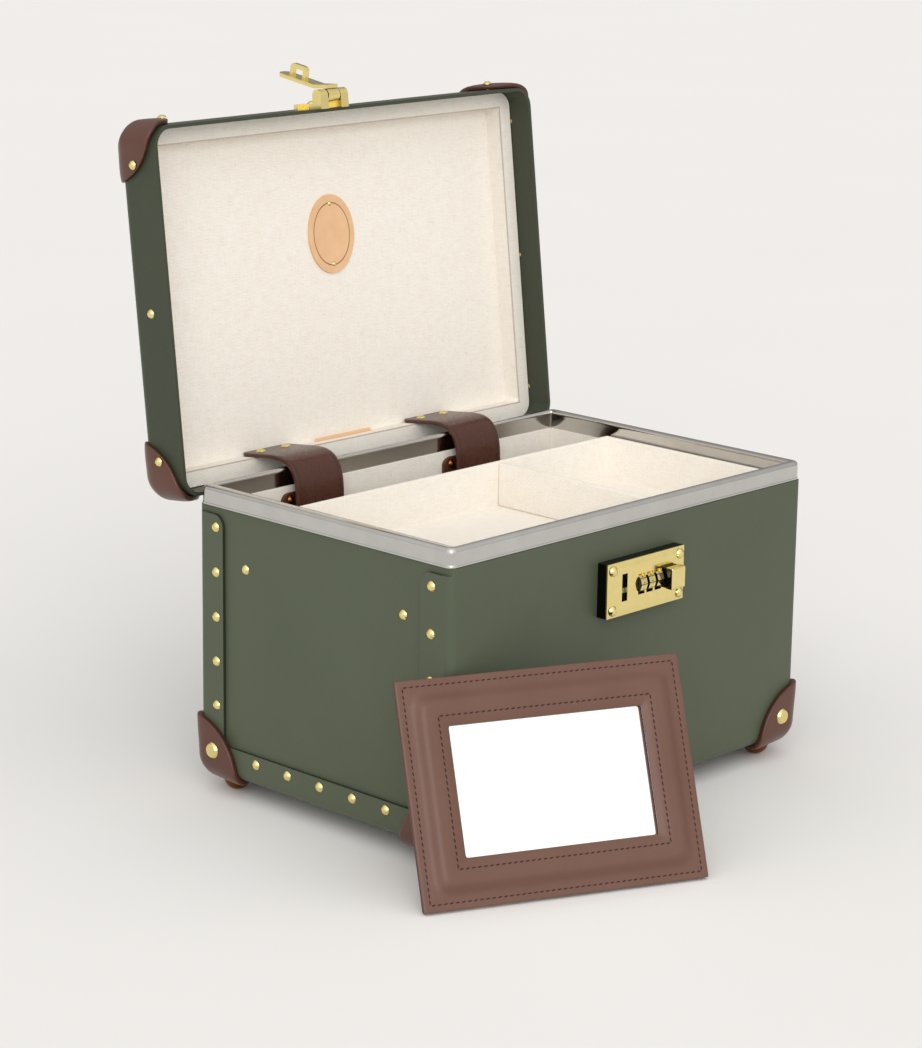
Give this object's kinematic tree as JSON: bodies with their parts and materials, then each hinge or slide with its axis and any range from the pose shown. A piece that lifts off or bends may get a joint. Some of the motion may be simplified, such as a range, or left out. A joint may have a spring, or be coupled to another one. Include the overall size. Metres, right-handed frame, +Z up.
{
  "type": "vanity case",
  "caption": "Rigid travel vanity case with strap-held hinged lid, combination lock with hasp, lift-out divided tray, leather corners, feet, carrying handle and a loose framed mirror.",
  "frame": {"origin": "point on the standing surface under the centre of the body's footprint, level with the bottoms of the feet", "axes": "+Z up, +X to the user's right when facing the lock, +Y towards the hinges at the back"},
  "size_m": [0.3967, 0.4098, 0.4467],
  "materials": {
    "fibre": "olive vulcanised fibre sheet, satin lacquer",
    "leather_brown": "brown saddle leather with burnished edges",
    "leather_tan": "undyed tan leather",
    "linen": "undyed linen cloth on board",
    "brass": "pale polished brass",
    "nickel": "polished nickel-plated steel strip",
    "steel": "bright steel",
    "black": "black lacquered die casting",
    "wood": "bare ash",
    "mirror": "silvered glass"
  },
  "bodies": {
    "case": {"body_wrap": "fibre", "corner_studs": "brass", "dial_axle": "steel", "dial_spring": "steel", "feet": "brass", "hinge_body_leaves": "brass", "hinge_body_rivets": "brass", "hinge_pins": "steel", "lap_rivets": "brass", "leather_corner_back_left": "leather_brown", "leather_corner_back_right": "leather_brown", "leather_corner_front_left": "leather_brown", "leather_corner_front_right": "leather_brown", "ledge_rivets": "brass", "lining_back": "linen", "lining_floor": "linen", "lining_front": "linen", "lining_left": "linen", "lining_right": "linen", "lock_case": "black", "lock_plate": "brass", "lock_screws": "brass", "rim": "nickel", "side_panel_left": "fibre", "side_panel_right": "fibre", "strap_left": "leather_brown", "strap_right": "leather_brown", "strap_rivets_body": "brass", "tray_ledge_left": "fibre", "tray_ledge_right": "fibre", "valance_frame": "wood"},
    "lid": {"lid_shell": "fibre", "lid_rivets": "brass", "lid_lining_frame": "linen", "lid_panel": "linen", "badge": "leather_tan", "badge_pins": "brass", "hasp_base": "brass", "hasp_pin": "steel", "hinge_lid_leaves": "brass", "strap_rivets_lid": "brass", "handle_mounts": "brass", "handle_pins": "brass", "lid_corner_front_left": "leather_brown", "lid_corner_front_right": "leather_brown", "lid_corner_back_left": "leather_brown", "lid_corner_back_right": "leather_brown"},
    "hasp": {"hasp_arm": "brass"},
    "slider": {"knob_base": "black", "knob_cap": "brass", "lock_bolt": "steel"},
    "dial_wheel_1": {"dial_1": "brass"},
    "dial_wheel_2": {"dial_2": "brass"},
    "dial_wheel_3": {"dial_3": "brass"},
    "tray": {"tray": "linen", "tray_divider": "linen"},
    "mirror": {"mirror_frame": "leather_brown", "mirror_glass": "mirror", "mirror_back": "leather_brown"},
    "handle": {"handle_grip": "leather_brown"}
  },
  "joints": [
    {"name": "lid_hinge", "type": "hinge", "parent": "case", "child": "lid", "pos_m": [0, 0.11883, 0.18695], "axis": [-1, 0, 0], "range_deg": [-96.7, 0], "deforming": ["strap_left", "strap_right"]},
    {"name": "hasp_pivot", "type": "hinge", "parent": "lid", "child": "hasp", "pos_m": [-0.0206, 0.1424, 0.42913], "axis": [-1, 0, 0], "range_deg": [-165.59, 0]},
    {"name": "knob_slide", "type": "slide", "parent": "case", "child": "slider", "axis": [1, 0, 0], "range_m": [0, 0.005], "stiffness_N_per_m": 200},
    {"name": "dial_turn_1", "type": "hinge", "parent": "case", "child": "dial_wheel_1", "pos_m": [-0.0048, -0.1152, 0.1513], "axis": [1, 0, 0], "continuous": true},
    {"name": "dial_turn_2", "type": "hinge", "parent": "case", "child": "dial_wheel_2", "pos_m": [0.003, -0.1152, 0.1513], "axis": [1, 0, 0], "continuous": true},
    {"name": "dial_turn_3", "type": "hinge", "parent": "case", "child": "dial_wheel_3", "pos_m": [0.0108, -0.1152, 0.1513], "axis": [1, 0, 0], "continuous": true},
    {"name": "tray_lift", "type": "slide", "parent": "case", "child": "tray", "axis": [0, 0, 1], "range_m": [0, 0.12]},
    {"name": "mirror_lift", "type": "slide", "parent": "case", "child": "mirror", "axis": [0, 0, 1], "range_m": [0, 0.2]},
    {"name": "handle_swing", "type": "hinge", "parent": "lid", "child": "handle", "pos_m": [0, 0.17505, 0.29999], "axis": [1, 0, 0], "range_deg": [-5, 170]}
  ]
}
